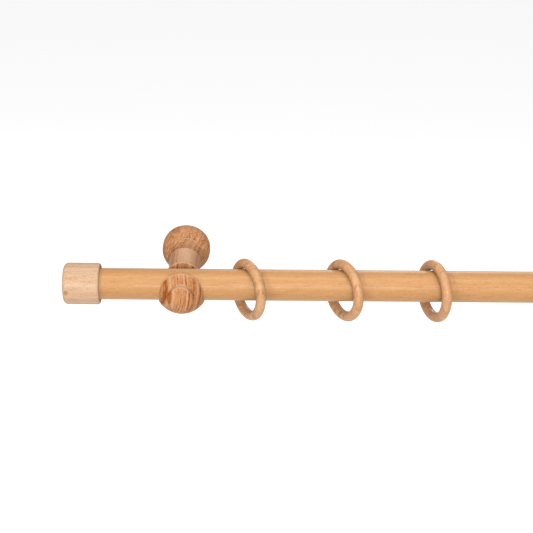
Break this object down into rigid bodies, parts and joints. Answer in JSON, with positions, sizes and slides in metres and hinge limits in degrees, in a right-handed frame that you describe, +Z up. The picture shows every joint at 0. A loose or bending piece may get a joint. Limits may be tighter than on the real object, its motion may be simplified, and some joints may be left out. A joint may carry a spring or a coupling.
{
  "type": "curtain rod with brackets",
  "caption": "Round wooden curtain rod resting in two turned wall brackets, with push-on end caps and sliding curtain rings.",
  "frame": {"origin": "on the wall face, midway between the two brackets' fixing bolts, at the height of the bolts", "axes": "+X along the rod, +Y into the wall, +Z up"},
  "size_m": [1.2186, 0.1703, 0.056],
  "materials": {
    "rod_wood": "satin honey lacquer on straight-grained beech",
    "cap_wood": "pale natural beech, satin",
    "bracket_wood": "reddish beech, satin lacquer",
    "rose_wood": "reddish beech, satin lacquer",
    "ring_wood": "beech, satin lacquer",
    "zinc_steel": "zinc-plated steel"
  },
  "bodies": {
    "brackets": {"bracket_holder_left": "bracket_wood", "wall_rose_left": "rose_wood", "hanger_bolt_left": "zinc_steel", "locating_pin_left": "zinc_steel", "bracket_holder_right": "bracket_wood", "wall_rose_right": "rose_wood", "hanger_bolt_right": "zinc_steel", "locating_pin_right": "zinc_steel"},
    "rod": {"rod": "rod_wood"},
    "end_cap_left": {"end_cap_left": "cap_wood"},
    "end_cap_right": {"end_cap_right": "cap_wood"},
    "ring_01": {"ring_01": "ring_wood"},
    "ring_02": {"ring_02": "ring_wood"},
    "ring_03": {"ring_03": "ring_wood"},
    "ring_04": {"ring_04": "ring_wood"},
    "ring_05": {"ring_05": "ring_wood"},
    "ring_06": {"ring_06": "ring_wood"},
    "ring_07": {"ring_07": "ring_wood"},
    "ring_08": {"ring_08": "ring_wood"},
    "ring_09": {"ring_09": "ring_wood"},
    "ring_10": {"ring_10": "ring_wood"},
    "ring_11": {"ring_11": "ring_wood"},
    "ring_12": {"ring_12": "ring_wood"}
  },
  "joints": [
    {"name": "rod_lift", "type": "slide", "parent": "brackets", "child": "rod", "axis": [0, 0, 1], "range_m": [0, 0.06]},
    {"name": "end_cap_left_pull", "type": "slide", "parent": "rod", "child": "end_cap_left", "axis": [-1, 0, 0], "range_m": [0, 0.03]},
    {"name": "end_cap_right_pull", "type": "slide", "parent": "rod", "child": "end_cap_right", "axis": [1, 0, 0], "range_m": [0, 0.03]},
    {"name": "ring_01_slide", "type": "slide", "parent": "rod", "child": "ring_01", "axis": [1, 0, 0], "range_m": [-0.021, 0.052]},
    {"name": "ring_02_slide", "type": "slide", "parent": "rod", "child": "ring_02", "axis": [1, 0, 0], "range_m": [-0.052, 0.051]},
    {"name": "ring_03_slide", "type": "slide", "parent": "rod", "child": "ring_03", "axis": [1, 0, 0], "range_m": [-0.051, 0.083]},
    {"name": "ring_04_slide", "type": "slide", "parent": "rod", "child": "ring_04", "axis": [1, 0, 0], "range_m": [-0.083, 0.047]},
    {"name": "ring_05_slide", "type": "slide", "parent": "rod", "child": "ring_05", "axis": [1, 0, 0], "range_m": [-0.047, 0.045]},
    {"name": "ring_06_slide", "type": "slide", "parent": "rod", "child": "ring_06", "axis": [1, 0, 0], "range_m": [-0.045, 0.049]},
    {"name": "ring_07_slide", "type": "slide", "parent": "rod", "child": "ring_07", "axis": [1, 0, 0], "range_m": [-0.049, 0.047]},
    {"name": "ring_08_slide", "type": "slide", "parent": "rod", "child": "ring_08", "axis": [1, 0, 0], "range_m": [-0.047, 0.049]},
    {"name": "ring_09_slide", "type": "slide", "parent": "rod", "child": "ring_09", "axis": [1, 0, 0], "range_m": [-0.049, 0.046]},
    {"name": "ring_10_slide", "type": "slide", "parent": "rod", "child": "ring_10", "axis": [1, 0, 0], "range_m": [-0.046, 0.047]},
    {"name": "ring_11_slide", "type": "slide", "parent": "rod", "child": "ring_11", "axis": [1, 0, 0], "range_m": [-0.047, 0.044]},
    {"name": "ring_12_slide", "type": "slide", "parent": "rod", "child": "ring_12", "axis": [1, 0, 0], "range_m": [-0.044, 0.023]}
  ]
}
